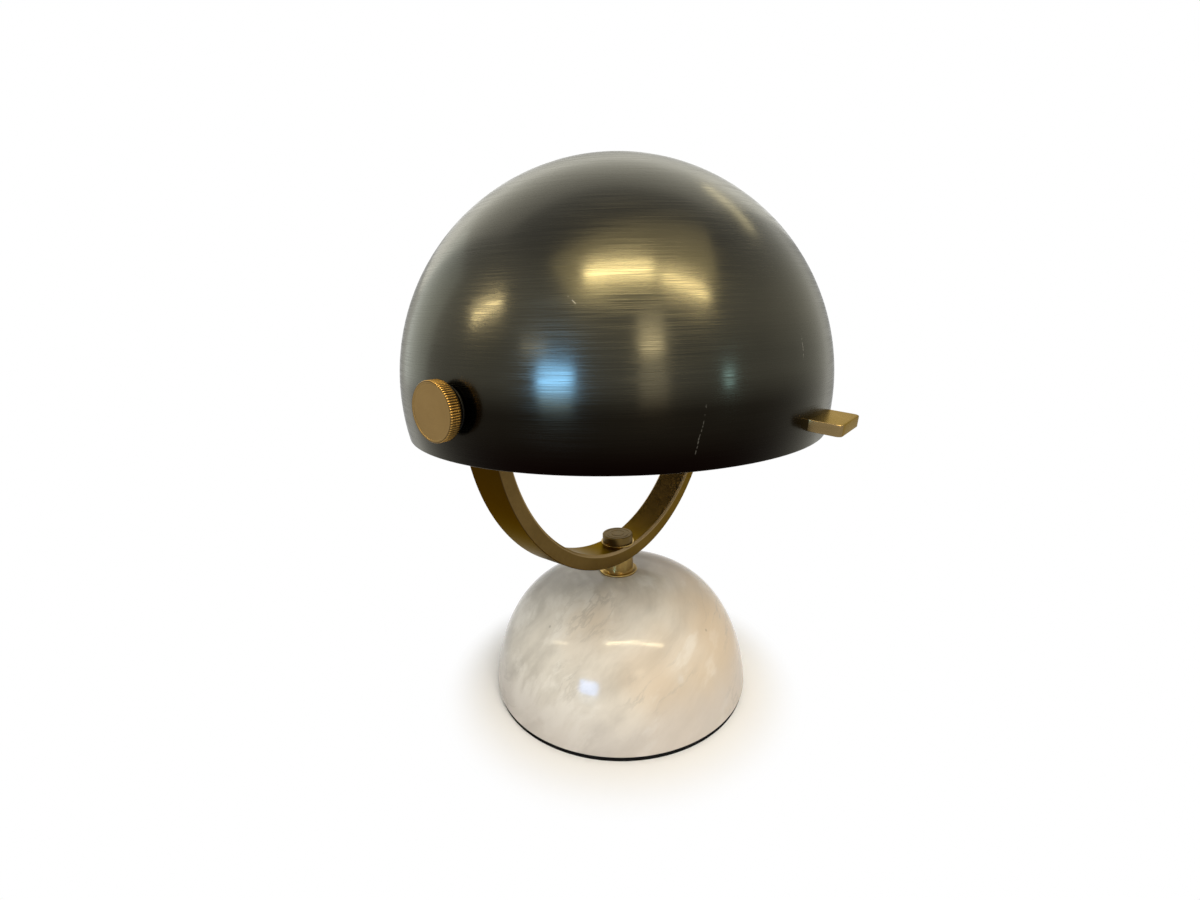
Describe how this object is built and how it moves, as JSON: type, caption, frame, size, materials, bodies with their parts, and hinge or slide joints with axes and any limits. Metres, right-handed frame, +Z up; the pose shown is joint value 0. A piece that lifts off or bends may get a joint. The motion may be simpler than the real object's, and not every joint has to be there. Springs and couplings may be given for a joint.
{
  "type": "dome shade desk lamp",
  "caption": "Desk lamp with a spun dome shade that tilts between two knurled clamp knobs on a bent brass yoke, bolted to a turned marble base.",
  "frame": {"origin": "centre of the foot pad's underside, on the table", "axes": "+Z up, -Y towards the shade's tab handle, the pivot axis and its knobs along X"},
  "size_m": [0.302, 0.2956, 0.3686],
  "materials": {
    "dark_bronze": "dark bronze, finely brushed round the dome, satin lacquer",
    "aged_brass": "aged brass, satin",
    "marble": "white marble with soft grey veins, polished",
    "pad_rubber": "matte",
    "black_steel": "matte black",
    "zinc_steel": "zinc plated, satin",
    "raw_brass": "raw turned brass",
    "fibre": "matte",
    "black_moulding": "satin",
    "porcelain": "gloss",
    "nickel": "satin",
    "black_glass": "gloss",
    "opal_glass": "opal, satin"
  },
  "bodies": {
    "base": {"base_pad": "pad_rubber", "base_plate": "black_steel", "plate_screws": "zinc_steel", "marble_base": "marble", "cord_bush": "aged_brass", "base_washer": "zinc_steel", "base_nut": "zinc_steel", "threaded_rod": "raw_brass", "post_collar": "aged_brass", "saddle_washer": "aged_brass", "post_cap": "aged_brass", "yoke": "aged_brass", "yoke_block": "raw_brass", "yoke_end_left": "aged_brass", "yoke_end_right": "aged_brass", "wire_grommet": "pad_rubber", "pivot_bush_left": "aged_brass", "pivot_bush_right": "aged_brass", "friction_washer_left": "fibre", "friction_washer_right": "fibre", "holder_bar": "zinc_steel", "bar_screws": "zinc_steel", "holder_nipple": "raw_brass", "holder_nut": "zinc_steel", "holder_cup": "black_moulding", "holder_core": "porcelain", "holder_contact": "raw_brass", "holder_screw_shell": "raw_brass", "holder_sleeve": "black_moulding", "bulb_cap": "nickel", "bulb_insulator": "black_glass", "bulb_contact": "nickel", "bulb_glass": "opal_glass"},
    "shade": {"shade": "dark_bronze", "tab_handle": "aged_brass", "tab_screws": "zinc_steel"},
    "knob_left": {"knob_left": "aged_brass", "stud_left": "zinc_steel", "knob_washer_left": "zinc_steel"},
    "knob_right": {"knob_right": "aged_brass", "stud_right": "zinc_steel", "knob_washer_right": "zinc_steel"}
  },
  "joints": [
    {"name": "shade_tilt", "type": "hinge", "parent": "base", "child": "shade", "pos_m": [0, 0, 0.23106], "axis": [1, 0, 0], "range_deg": [-70, 63]},
    {"name": "knob_left_turn", "type": "hinge", "parent": "base", "child": "knob_left", "pos_m": [0, 0, 0.23106], "axis": [-1, 0, 0], "range_deg": [0, 360]},
    {"name": "knob_right_turn", "type": "hinge", "parent": "base", "child": "knob_right", "pos_m": [0, 0, 0.23106], "axis": [1, 0, 0], "range_deg": [0, 360]}
  ]
}
